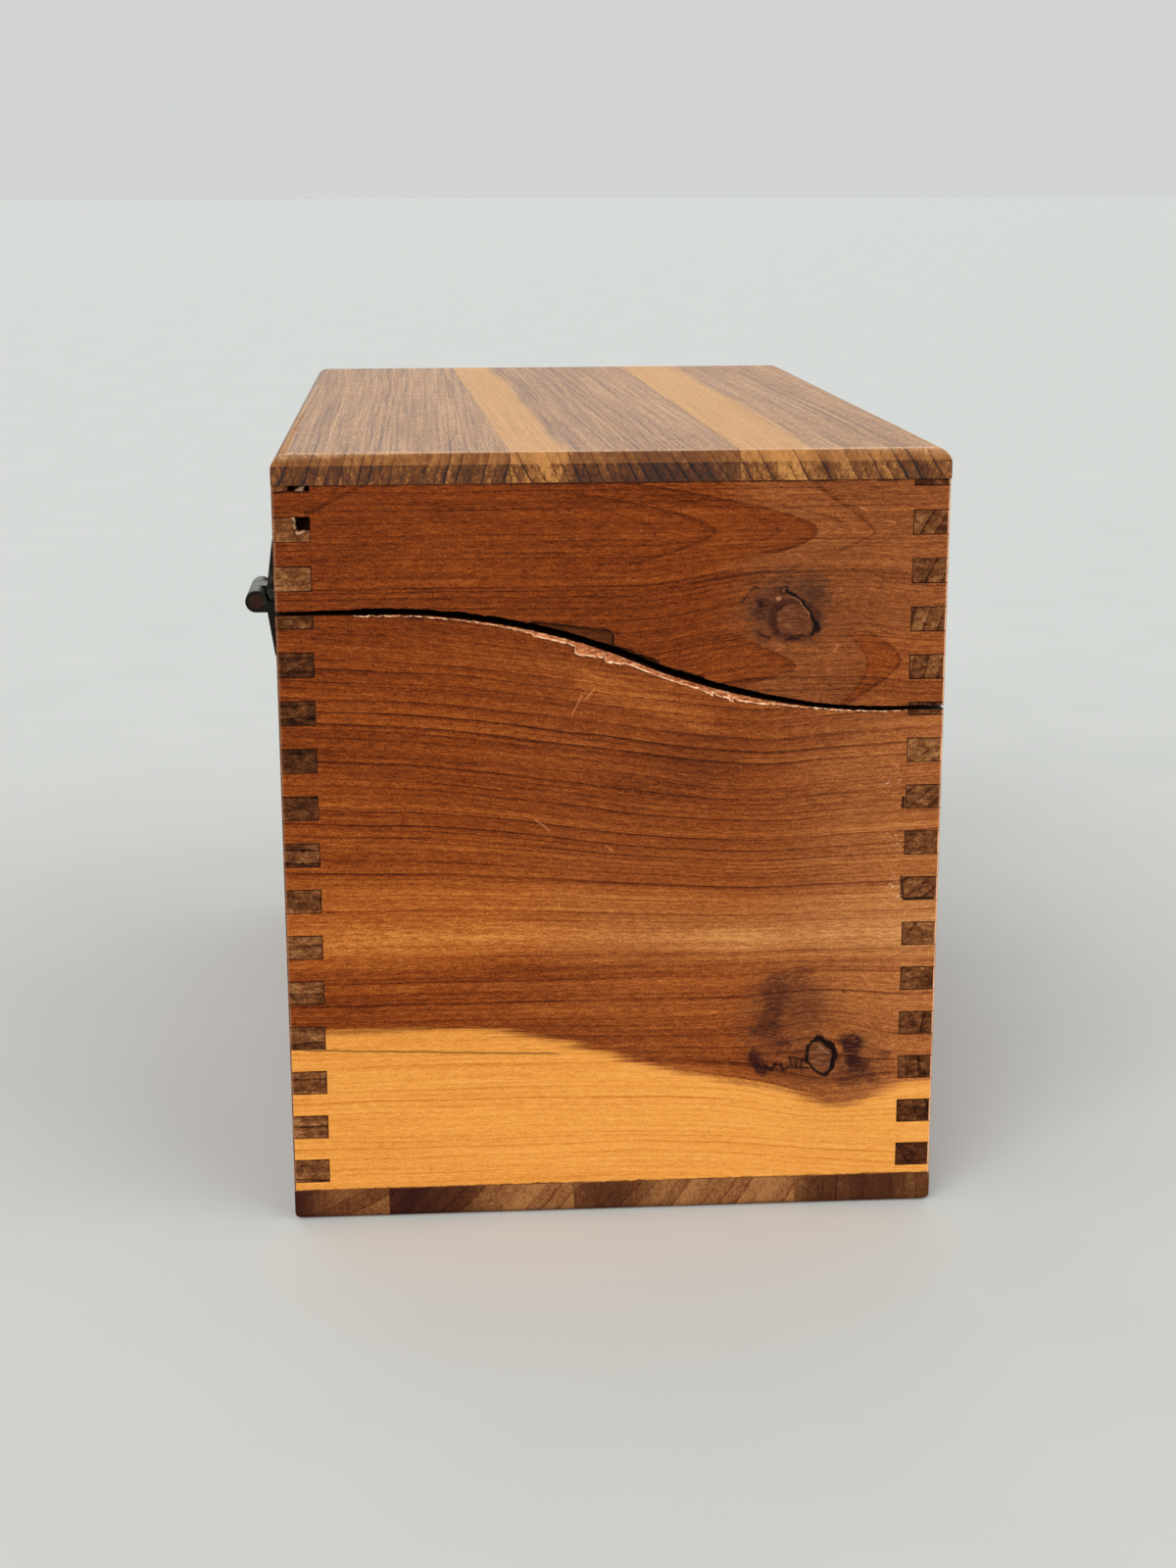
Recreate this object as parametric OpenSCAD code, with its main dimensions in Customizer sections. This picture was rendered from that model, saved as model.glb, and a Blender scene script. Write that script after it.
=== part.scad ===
// Recipe box of finger-jointed boards, with a lid sawn off along an ogee and hung on two small hinges.
// Sizes are in millimetres. The origin is on the table under the middle of the boards,
// X runs along the length, +Y points to the hinge side and Z points up.

/* [Box] */
// Length of the box, end face to end face
length = 152.4; // [110:0.1:220]
// Width of the box, front face to back face
width = 87.3; // [72:0.1:130]
// Height of the box, table to top face
height = 104; // [98:0.1:150]
// Thickness of the four side boards
wall_t = 4.8; // [4.4:0.1:6.5]
// Thickness of the glued-up top panel
top_t = 3.9; // [3:0.1:7]
// Thickness of the glued-up bottom panel
bottom_t = 4.2; // [3:0.1:7]
// Radius of the round along the top panel's long upper edges
top_round = 2; // [0.5:0.1:2.8]
// Bevel along the upper edges of the top panel's ends
top_bevel = 1.5; // [0.4:0.1:2.8]
// Radius of the round along the bottom panel's lower edges
bottom_round = 1.2; // [0.4:0.1:2.8]

/* [Finger joints] */
// Height of one finger
finger_h = 3.175; // [2.4:0.005:5]
// Step from one finger to the next
finger_pitch = 6.35; // [5:0.05:10]
// Height of the lowest finger above the bottom panel
finger_start = 1.3; // [0.6:0.1:3]

/* [Panel glue lines, measured from the back face] */
// First glue line of the top panel, at the left end
top_joint_1_left = 30.4; // [20:0.1:45]
// First glue line of the top panel, at the right end
top_joint_1_right = 25.2; // [20:0.1:45]
// Second glue line of the top panel, at the left end
top_joint_2_left = 59.9; // [50:0.1:65]
// Second glue line of the top panel, at the right end
top_joint_2_right = 56.9; // [50:0.1:65]
// First glue line of the bottom panel
bottom_joint_1 = 12.8; // [8:0.1:25]
// Second glue line of the bottom panel
bottom_joint_2 = 38; // [30:0.1:50]
// Third glue line of the bottom panel
bottom_joint_3 = 68.5; // [55:0.1:69]

/* [Lid cut] */
// Height of the saw cut at the back face
cut_back = 83.4; // [76:0.1:86]
// Height of the saw cut at the front face
cut_front = 69.7; // [55:0.1:79]
// Level run of the cut from the back face
cut_flat_back = 13; // [8:0.1:25]
// Level run of the cut from the front face
cut_flat_front = 7; // [6.5:0.1:25]
// Thickness of wood that the saw took out, square to the cut
saw_kerf = 2; // [1.2:0.1:3]
// Gap between lid and body along the level runs when closed
seam_gap = 0.5; // [0.3:0.05:1]

/* [Hinges] */
// Length of one hinge along the box
hinge_len = 12.7; // [11:0.1:30]
// Distance from the end of the box to the hinge
hinge_inset = 10; // [6:0.1:35]
// Distance of the hinge pin from the back face
pivot_out = 3; // [2.6:0.05:4]
// Outer diameter of the barrel
barrel_d = 2.9; // [2.6:0.05:3.6]
// Diameter of the hinge pin
pin_d = 1.9; // [1:0.05:2]
// Height of the leaf on the lid, from the pin
lid_leaf_h = 8.4; // [7.4:0.1:12]
// Height of the leaf on the body, from the pin
body_leaf_h = 7.7; // [7.4:0.1:12]
// Thickness of a leaf beside the barrel
leaf_root_t = 1.75; // [1.4:0.05:2.2]
// Thickness of a leaf at its free edge
leaf_tip_t = 0.7; // [0.6:0.05:1.2]
// Bevel along the free edge of a leaf
leaf_ease = 0.35; // [0.1:0.05:0.5]
// Radius of the free corners of a leaf
leaf_corner = 1.2; // [0.4:0.1:2]
// Gap between neighbouring knuckles
knuckle_gap = 0.2; // [0.1:0.05:0.5]
// Running clearance round the pin in the lid's knuckle
pin_fit = 0.05; // [0.02:0.01:0.1]
// Clearance of a leaf round the other leaf's knuckles
knuckle_relief = 0.35; // [0.25:0.05:0.6]

/* [Hinge nails] */
// Diameter of a nail
nail_d = 1; // [0.6:0.05:1.4]
// Depth of a nail in the wood
nail_depth = 3.5; // [2:0.1:4]
// Diameter of a nail head
nail_head_d = 2.2; // [1.8:0.05:2.6]
// Height of a nail head's rim
nail_head_h = 0.4; // [0.2:0.05:0.6]
// Height of the dome on a nail head
nail_dome = 0.25; // [0.1:0.05:0.5]
// Metal of the leaf under a nail head
nail_seat = 0.45; // [0.3:0.05:0.5]
// Clearance round a nail in its leaf
nail_fit = 0.1; // [0.05:0.01:0.2]
// Distance of the nails from the pin
nail_rise = 5.2; // [4.6:0.1:5.6]
// Distance of the nails from the ends of the leaf
nail_edge = 3; // [2.2:0.1:4]

/* [Hidden] */
$fn = 96;
// Reach of a cutter past the wood
over = 1;
// Settling of the lid onto the body after sawing
lid_drop = saw_kerf - seam_gap;
// Top of the boards before sawing
wall_top = height - top_t + lid_drop;
// Number of fingers that start below the top of the boards
finger_n = ceil((wall_top - bottom_t - finger_start) / finger_pitch);
// Ends of the ogee, measured from the middle of the box
ogee_back = width / 2 - cut_flat_back;
ogee_front = cut_flat_front - width / 2;
// Radius and steepest slope of the two equal arcs of the ogee
ogee_run = ogee_back - ogee_front;
ogee_fall = cut_back - cut_front;
ogee_r = (ogee_run * ogee_run + ogee_fall * ogee_fall) / (4 * ogee_fall);
ogee_slope = asin(ogee_run / (2 * ogee_r));
// Edges and glue lines of the panels: distances from the back face at the left and the right end
top_lines = [
    [0, 0],
    [top_joint_1_left, top_joint_1_right],
    [top_joint_2_left, top_joint_2_right],
    [width, width]
];
bottom_lines = [for (d = [0, bottom_joint_1, bottom_joint_2, bottom_joint_3, width]) [d, d]];
// Height of the hinge pins, in the middle of the closed seam
pivot_z = cut_back + seam_gap / 2;
// Length of one knuckle, three to a hinge
knuckle_len = (hinge_len - 2 * knuckle_gap) / 3;
knuckle_step = knuckle_len + knuckle_gap;
// Radius of the dome on a nail head
dome_r = (nail_head_d * nail_head_d / 4 + nail_dome * nail_dome) / (2 * nail_dome);

// Underside of finger k, counted up from the bottom panel
function finger_z(k) = bottom_t + finger_start + k * finger_pitch;
// Lower and upper edge of the notch under finger k
function notch_low(k) = k == 0 ? bottom_t - over : finger_z(k - 1) + finger_h;
function notch_high(k) = k == finger_n ? wall_top + over : finger_z(k);

// Area under the saw cut in the YZ plane, grown by the thickness of wood taken out
module under_cut(grow) {
    back_r = ogee_r + grow;
    front_r = ogee_r - grow;
    turn_y = ogee_back - back_r * sin(ogee_slope);
    turn_z = cut_back - ogee_r + back_r * cos(ogee_slope);
    difference() {
        union() {
            polygon([
                [-width / 2 - over, -over],
                [width / 2 + over, -over],
                [width / 2 + over, cut_back + grow],
                [ogee_back, cut_back + grow],
                [turn_y, turn_z],
                [ogee_front, cut_front + grow],
                [-width / 2 - over, cut_front + grow]
            ]);
            intersection() {
                translate([ogee_back, cut_back - ogee_r])
                    circle(back_r);
                translate([turn_y, cut_front])
                    square([ogee_back - turn_y, ogee_fall + grow + over]);
            }
        }
        intersection() {
            translate([ogee_front, cut_front + ogee_r])
                circle(front_r);
            translate([ogee_front, cut_front])
                square([turn_y - ogee_front, ogee_fall + grow]);
        }
    }
}

// Everything below the saw cut, along the whole box
module below_saw(grow) {
    rotate([90, 0, 90])
        linear_extrude(length + 2 * over, center = true)
            under_cut(grow);
}

// End board before sawing, notched for the fingers of the long boards
module end_board(side) {
    inner = length / 2 - wall_t;
    difference() {
        translate([side < 0 ? -length / 2 : inner, -width / 2, bottom_t])
            cube([wall_t, width, wall_top - bottom_t]);
        for (k = [0 : finger_n - 1], edge = [-width / 2 - over, width / 2 - wall_t])
            translate([side < 0 ? -length / 2 - over : inner - over, edge, finger_z(k)])
                cube([wall_t + 2 * over, wall_t + over, finger_h]);
    }
}

// Long board before sawing, with fingers at both ends
module long_board(side) {
    inner = width / 2 - wall_t;
    difference() {
        translate([-length / 2, side < 0 ? -width / 2 : inner, bottom_t])
            cube([length, wall_t, wall_top - bottom_t]);
        for (k = [0 : finger_n], edge = [-length / 2 - over, length / 2 - wall_t])
            if (notch_high(k) > notch_low(k))
                translate([edge, side < 0 ? -width / 2 - over : inner - over, notch_low(k)])
                    cube([wall_t + over, wall_t + 2 * over, notch_high(k) - notch_low(k)]);
    }
}

// What stays under the saw cut
module body_of() {
    intersection() {
        children();
        below_saw(0);
    }
}

// What stays over the saw cut, settled on the body
module lid_of() {
    translate([0, 0, -lid_drop])
        difference() {
            children();
            below_saw(saw_kerf);
        }
}

// Flat profile on the X axis with its two upper corners rounded
module rounded_profile(span, rise, r) {
    difference() {
        translate([-span / 2, 0])
            square([span, rise]);
        for (turn = [0, 1])
            mirror([turn, 0])
                translate([span / 2 - r, rise - r])
                    difference() {
                        square(r + over);
                        circle(r);
                    }
    }
}

// Flat profile on the X axis with its two upper corners bevelled
module bevelled_profile(span, rise, bevel) {
    polygon([
        [-span / 2, 0],
        [span / 2, 0],
        [span / 2, rise - bevel],
        [span / 2 - bevel, rise],
        [bevel - span / 2, rise],
        [-span / 2, rise - bevel]
    ]);
}

// Panel of the box's outline: long upper edges rounded, ends shaped by the profile given
module panel(thick, r) {
    intersection() {
        rotate([90, 0, 90])
            linear_extrude(length, center = true)
                rounded_profile(width, thick, r);
        rotate([90, 0, 0])
            linear_extrude(width, center = true)
                children();
    }
}

// Strip of the box's outline between two lines
module strip(from, to) {
    translate([0, width / 2, -over])
        linear_extrude(height + 2 * over)
            polygon([
                [-length / 2, -from[0]],
                [length / 2, -from[1]],
                [length / 2, -to[1]],
                [-length / 2, -to[0]]
            ]);
}

// Stave n of the top panel, counted from the back
module top_stave(n) {
    intersection() {
        translate([0, 0, height - top_t])
            panel(top_t, top_round)
                bevelled_profile(length, top_t, top_bevel);
        strip(top_lines[n - 1], top_lines[n]);
    }
}

// Stave n of the bottom panel, counted from the back
module bottom_stave(n) {
    intersection() {
        translate([0, 0, bottom_t])
            mirror([0, 0, 1])
                panel(bottom_t, bottom_round)
                    rounded_profile(length, bottom_t, bottom_round);
        strip(bottom_lines[n - 1], bottom_lines[n]);
    }
}

// Moves a hinge from its own frame, at the foot of its pin on the back face, to one end of the box
module at_hinge(side) {
    foot_x = side < 0 ? hinge_inset - length / 2 : length / 2 - hinge_inset - hinge_len;
    translate([foot_x, width / 2, pivot_z])
        children();
}

// Round bar along a hinge's pin
module on_pin(d, from, long) {
    translate([from, pivot_out, 0])
        rotate([0, 90, 0])
            cylinder(d = d, h = long);
}

// Both nail places of a leaf that points up
module at_nails() {
    for (x = [nail_edge, hinge_len - nail_edge])
        translate([x, 0, nail_rise])
            rotate([-90, 0, 0])
                children();
}

module nail_shank() {
    rotate_extrude()
        polygon([
            [0, -nail_depth],
            [nail_d / 2, nail_d - nail_depth],
            [nail_d / 2, nail_seat],
            [0, nail_seat]
        ]);
}

module nail() {
    nail_shank();
    translate([0, 0, nail_seat])
        intersection() {
            cylinder(d = nail_head_d, h = nail_head_h + nail_dome);
            translate([0, 0, nail_head_h + nail_dome - dome_r])
                sphere(dome_r);
        }
}

// Hinge leaf that points up from the pin, with the knuckles given by number
module leaf(rise, own, others, bore_d) {
    half_gap = seam_gap / 2;
    difference() {
        union() {
            intersection() {
                rotate([90, 0, 90])
                    linear_extrude(hinge_len)
                        polygon([
                            [0, half_gap],
                            [leaf_root_t, half_gap],
                            [leaf_tip_t, rise - leaf_ease],
                            [leaf_tip_t - leaf_ease, rise],
                            [0, rise]
                        ]);
                translate([hinge_len / 2, leaf_root_t + over, 0])
                    rotate([90, 0, 0])
                        linear_extrude(leaf_root_t + 2 * over)
                            rounded_profile(hinge_len, rise, leaf_corner);
            }
            for (k = own) {
                on_pin(barrel_d, k * knuckle_step, knuckle_len);
                translate([k * knuckle_step, 0, half_gap])
                    cube([knuckle_len, pivot_out, barrel_d / 2 - half_gap]);
            }
        }
        on_pin(bore_d, -over, hinge_len + 2 * over);
        for (k = others)
            on_pin(
                barrel_d + 2 * knuckle_relief,
                k * knuckle_step - knuckle_gap,
                knuckle_len + 2 * knuckle_gap
            );
        at_nails() {
            translate([0, 0, -over])
                cylinder(d = nail_d + 2 * nail_fit, h = pivot_out + over);
            translate([0, 0, nail_seat])
                cylinder(d = nail_head_d + 2 * nail_fit, h = pivot_out);
        }
    }
}

module lid_leaf(side) {
    at_hinge(side)
        leaf(lid_leaf_h, [1], [0, 2], pin_d + 2 * pin_fit);
}

module body_leaf(side) {
    at_hinge(side)
        mirror([0, 0, 1])
            leaf(body_leaf_h, [0, 2], [1], pin_d);
}

module hinge_pin(side) {
    at_hinge(side)
        on_pin(pin_d, 0, hinge_len);
}

// Both hinges' nail places in the lid
module at_lid_nails() {
    for (side = [-1, 1])
        at_hinge(side)
            at_nails()
                children();
}

// Both hinges' nail places in the body
module at_body_nails() {
    for (side = [-1, 1])
        at_hinge(side)
            mirror([0, 0, 1])
                at_nails()
                    children();
}

module body_left_end() {
    color("sienna")
        body_of()
            end_board(-1);
}

module body_right_end() {
    color("sienna")
        body_of()
            end_board(1);
}

module body_front() {
    color("saddlebrown")
        body_of()
            long_board(-1);
}

module body_back() {
    color("saddlebrown")
        difference() {
            body_of()
                long_board(1);
            at_body_nails()
                nail_shank();
        }
}

module bottom_stave_1() {
    color("rosybrown")
        bottom_stave(1);
}

module bottom_stave_2() {
    color("tan")
        bottom_stave(2);
}

module bottom_stave_3() {
    color("rosybrown")
        bottom_stave(3);
}

module bottom_stave_4() {
    color("tan")
        bottom_stave(4);
}

module lid_left_end() {
    color("chocolate")
        lid_of()
            end_board(-1);
}

module lid_right_end() {
    color("chocolate")
        lid_of()
            end_board(1);
}

module lid_front() {
    color("peru")
        lid_of()
            long_board(-1);
}

module lid_back() {
    color("peru")
        difference() {
            lid_of()
                long_board(1);
            at_lid_nails()
                nail_shank();
        }
}

module top_stave_1() {
    color("burlywood")
        top_stave(1);
}

module top_stave_2() {
    color("tan")
        top_stave(2);
}

module top_stave_3() {
    color("burlywood")
        top_stave(3);
}

module left_body_leaf() {
    color("dimgray")
        body_leaf(-1);
}

module left_lid_leaf() {
    color("gray")
        lid_leaf(-1);
}

module left_hinge_pin() {
    color("firebrick")
        hinge_pin(-1);
}

module right_body_leaf() {
    color("dimgray")
        body_leaf(1);
}

module right_lid_leaf() {
    color("gray")
        lid_leaf(1);
}

module right_hinge_pin() {
    color("firebrick")
        hinge_pin(1);
}

module body_nails() {
    color("darkgoldenrod")
        at_body_nails()
            nail();
}

module lid_nails() {
    color("darkgoldenrod")
        at_lid_nails()
            nail();
}

body_left_end();
body_right_end();
body_front();
body_back();
bottom_stave_1();
bottom_stave_2();
bottom_stave_3();
bottom_stave_4();
lid_left_end();
lid_right_end();
lid_front();
lid_back();
top_stave_1();
top_stave_2();
top_stave_3();
left_body_leaf();
left_lid_leaf();
left_hinge_pin();
right_body_leaf();
right_lid_leaf();
right_hinge_pin();
body_nails();
lid_nails();
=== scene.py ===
import math
from collections import namedtuple

import bmesh
import bpy
from mathutils import Matrix, Vector, noise


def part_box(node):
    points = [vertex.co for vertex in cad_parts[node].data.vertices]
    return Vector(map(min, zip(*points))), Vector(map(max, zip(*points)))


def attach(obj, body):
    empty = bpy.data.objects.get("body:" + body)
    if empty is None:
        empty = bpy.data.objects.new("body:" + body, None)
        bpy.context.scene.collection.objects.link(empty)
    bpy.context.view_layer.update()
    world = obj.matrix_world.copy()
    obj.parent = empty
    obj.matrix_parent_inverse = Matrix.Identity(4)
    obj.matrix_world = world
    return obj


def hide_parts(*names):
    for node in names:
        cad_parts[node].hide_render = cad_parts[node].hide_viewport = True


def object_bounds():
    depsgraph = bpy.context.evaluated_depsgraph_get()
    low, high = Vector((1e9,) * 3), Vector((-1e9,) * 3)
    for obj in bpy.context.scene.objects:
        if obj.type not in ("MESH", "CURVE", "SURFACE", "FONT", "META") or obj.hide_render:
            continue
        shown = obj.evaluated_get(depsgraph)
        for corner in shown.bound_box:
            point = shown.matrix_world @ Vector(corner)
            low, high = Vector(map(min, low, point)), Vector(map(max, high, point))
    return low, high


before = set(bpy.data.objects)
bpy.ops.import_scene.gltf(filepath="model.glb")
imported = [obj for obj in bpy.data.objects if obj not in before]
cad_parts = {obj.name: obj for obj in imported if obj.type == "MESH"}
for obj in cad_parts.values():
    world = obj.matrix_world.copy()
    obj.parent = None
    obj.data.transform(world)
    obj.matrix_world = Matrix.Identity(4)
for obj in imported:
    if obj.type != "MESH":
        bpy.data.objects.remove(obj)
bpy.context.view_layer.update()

# Sizes in millimetres, taken from the frame
MM = 0.001


def corners(node):
    """Lowest and highest corner of a node, in millimetres."""
    low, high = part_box(node)
    return low / MM, high / MM


NEAR_X, FRONT_Y, WALL_LOW = corners("body_left_end")[0]
FAR_X = corners("body_right_end")[1].x
BACK_Y = corners("body_left_end")[1].y
WALL_HIGH = corners("lid_left_end")[1].z
LENGTH = FAR_X - NEAR_X
WIDTH = BACK_Y - FRONT_Y
CUT_BACK = corners("body_back")[1].z
CUT_FRONT = corners("body_front")[1].z
SEAM = corners("lid_back")[0].z - CUT_BACK

# Bevel at the ends of the top, and about the middle of the walls' height
TOP_BEVEL = 1.5
MID_HEIGHT = 50

# The ogee of the saw cut, measured from the back face
FLAT_BACK = 13
FLAT_FRONT = 7
CUT_RUN = WIDTH - FLAT_BACK - FLAT_FRONT
CUT_DROP = CUT_BACK - CUT_FRONT
CUT_RADIUS = (CUT_RUN ** 2 + CUT_DROP ** 2) / (4 * CUT_DROP)

# Widths of the worn edges
CORNER_WEAR = 0.5
CUT_WEAR = 0.08
FINGER_WEAR = 0.1
GLUE_WEAR = 0.07
METAL_WEAR = 0.1

# Edges that wear are at least this sharp and long. Places closer than a touch are the same.
SHARP = math.radians(32)
SHORT = 0.4
TOUCH = 0.01

# Splinters along the saw cut: the near face is cut into columns and rows there, and its skin is moved
COLUMN = 0.3
ROWS = (0.2, 0.4, 0.6, 0.8, 1.0, 1.25, 1.5, 1.75, 2.0, 2.3, 2.7, 3.2, 4.0)
SKIN = 0.6

# Torn steps along the saw cut: start and end from the back face, and the heights there
BODY_TEETH = (
    (33.0, 38.4, 0.75, 0.55), (38.6, 42.2, 1.75, 0.95), (42.4, 44.8, 1.5, 0.9), (44.6, 54.5, 0.7, 0.65),
    (54.5, 56.7, 0.6, 1.06), (56.7, 58.0, 0.7, 1.0), (58.0, 59.4, 0.7, 1.25), (59.4, 64.0, 0.85, 0.6))
LID_TEETH = (
    (33.0, 43.3, 0.2, 2.25), (43.6, 46.1, 0.15, 0.6), (46.4, 49.4, 0.25, 0.65), (51.0, 55.4, 0.1, 0.35))

# Two broken fingers of the lid's back board: columns and rows of the mesh, and a height between them
BREAK_CUT = 0.2
BREAK_COLUMNS = range(8, 24)
BREAK_LOW = 93.8
BREAK_ROWS = range(32)
BETWEEN_BREAKS = 98

# Depths of relief
WOOD_RELIEF = 0.16
METAL_RELIEF = 0.06
FLOOR_RELIEF = 0.02


def cut_height(s):
    """Height of the body's sawn edge at s from the back face."""
    t = min(max(s - FLAT_BACK, 0), CUT_RUN)
    if t < CUT_RUN / 2:
        return CUT_BACK - CUT_RADIUS + math.sqrt(CUT_RADIUS ** 2 - t ** 2)
    return CUT_FRONT + CUT_RADIUS - math.sqrt(CUT_RADIUS ** 2 - (CUT_RUN - t) ** 2)


def srgb(red, green, blue):
    """A colour given as 0-255 sRGB, as the linear colour that shaders take."""
    def linear(value):
        value /= 255
        return value / 12.92 if value <= 0.04045 else ((value + 0.055) / 1.055) ** 2.4
    return linear(red), linear(green), linear(blue), 1


def stops(places, *colours):
    """Stops of a colour ramp."""
    return [(place, srgb(*colour)) for place, colour in zip(places, colours)]


# Places of the colours in a ramp
QUARTERS = (0.0, 0.25, 0.5, 0.75, 1.0)
SAP_PLACES = (0.0, 0.3, 0.6, 1.0)
END_PLACES = (0.0, 0.35, 0.65, 1.0)

# Colours
HEART = stops(QUARTERS, (44, 15, 5), (90, 35, 8), (134, 61, 18), (174, 94, 36), (214, 138, 66))
TAN_HEART = stops(QUARTERS, (58, 26, 12), (104, 53, 24), (146, 82, 42), (184, 116, 64), (220, 156, 94))
SAP = stops(SAP_PLACES, (160, 84, 24), (212, 130, 48), (240, 162, 76), (252, 196, 114))
END_GRAIN = stops(END_PLACES, (30, 13, 8), (80, 42, 20), (118, 70, 38), (168, 114, 68))
FADED_HEART = stops(QUARTERS, (84, 48, 26), (132, 84, 46), (170, 115, 66), (196, 142, 90), (218, 172, 120))
FADED_SAP = stops(SAP_PLACES, (152, 94, 38), (188, 124, 50), (208, 144, 62), (226, 170, 92))
FADED_TAN = stops(QUARTERS, (96, 60, 34), (144, 98, 58), (180, 128, 80), (204, 154, 104), (224, 182, 134))
FADED_END = stops(END_PLACES, (24, 5, 0), (76, 34, 0), (116, 63, 12), (190, 128, 64))
PURPLE = srgb(48, 19, 17)
HAZE = srgb(62, 42, 34)
# Torn wood; the palest end of the ramp also paints highlights on its rim and ridges
TORN_WOOD_AND_HIGHLIGHT = stops((0.0, 0.45, 0.8, 1.0), (118, 56, 28), (188, 110, 66), (234, 170, 122), (252, 216, 176))
SPLINTER = srgb(228, 180, 146)
OLD_CHIP = srgb(72, 36, 12)
RAW = srgb(196, 132, 92)
# Pale rubbed wood, made paler still as a painted highlight on lit edges
RUBBED_AND_LIT = srgb(246, 184, 144)
SCRATCH = srgb(214, 138, 88)
# Dark grime; the same colour also paints shade in grooves, gaps, holes, the saw cut and on the top's back
# edges
GRIME_AND_SHADE = srgb(34, 16, 9)
# Worn top, made paler as a painted highlight on the lit front edges
WORN_TOP_AND_HIGHLIGHT = srgb(196, 140, 98)
# Pale worn arris, which is also a painted highlight along the end bevels' edges
ARRIS_WEAR_AND_HIGHLIGHT = srgb(238, 196, 164)
KNOT_EYE = stops((0.0, 0.5, 1.0), (50, 26, 15), (110, 60, 34), (158, 104, 68))
KNOT_BARK = srgb(22, 10, 8)
KNOT_GLINT = srgb(172, 124, 96)

# How wood is finished. The lower the shortness, the longer the streaks and dashes are.
Finish = namedtuple("Finish", "heart tan sap end specular roughness rings streaks dashes shortness")
OILED = Finish(HEART, TAN_HEART, SAP, END_GRAIN, 0.06, 0.52, 0.42, 0.34, 0.5, 1.0)
FADED = Finish(FADED_HEART, FADED_TAN, FADED_SAP, FADED_END, 0.4, 0.45, 0.3, 1.3, 0.9, 0.3)


def operator(name, swapped=False):
    """A method of Value that adds one Math node."""
    def method(self, other):
        pair = (other, self) if swapped else (self, other)
        return self.graph.math(name, *pair)
    return method


class Value:
    """A number inside a material: arithmetic on it adds Math nodes."""

    def __init__(self, graph, socket):
        self.graph = graph
        self.socket = socket

    __add__ = operator("ADD")
    __radd__ = operator("ADD", swapped=True)
    __sub__ = operator("SUBTRACT")
    __rsub__ = operator("SUBTRACT", swapped=True)
    __mul__ = operator("MULTIPLY")
    __rmul__ = operator("MULTIPLY", swapped=True)
    __truediv__ = operator("DIVIDE")
    __pow__ = operator("POWER")

    def __neg__(self):
        return self.graph.math("MULTIPLY", self, -1)

    def __abs__(self):
        return self.graph.math("ABSOLUTE", self)


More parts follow.
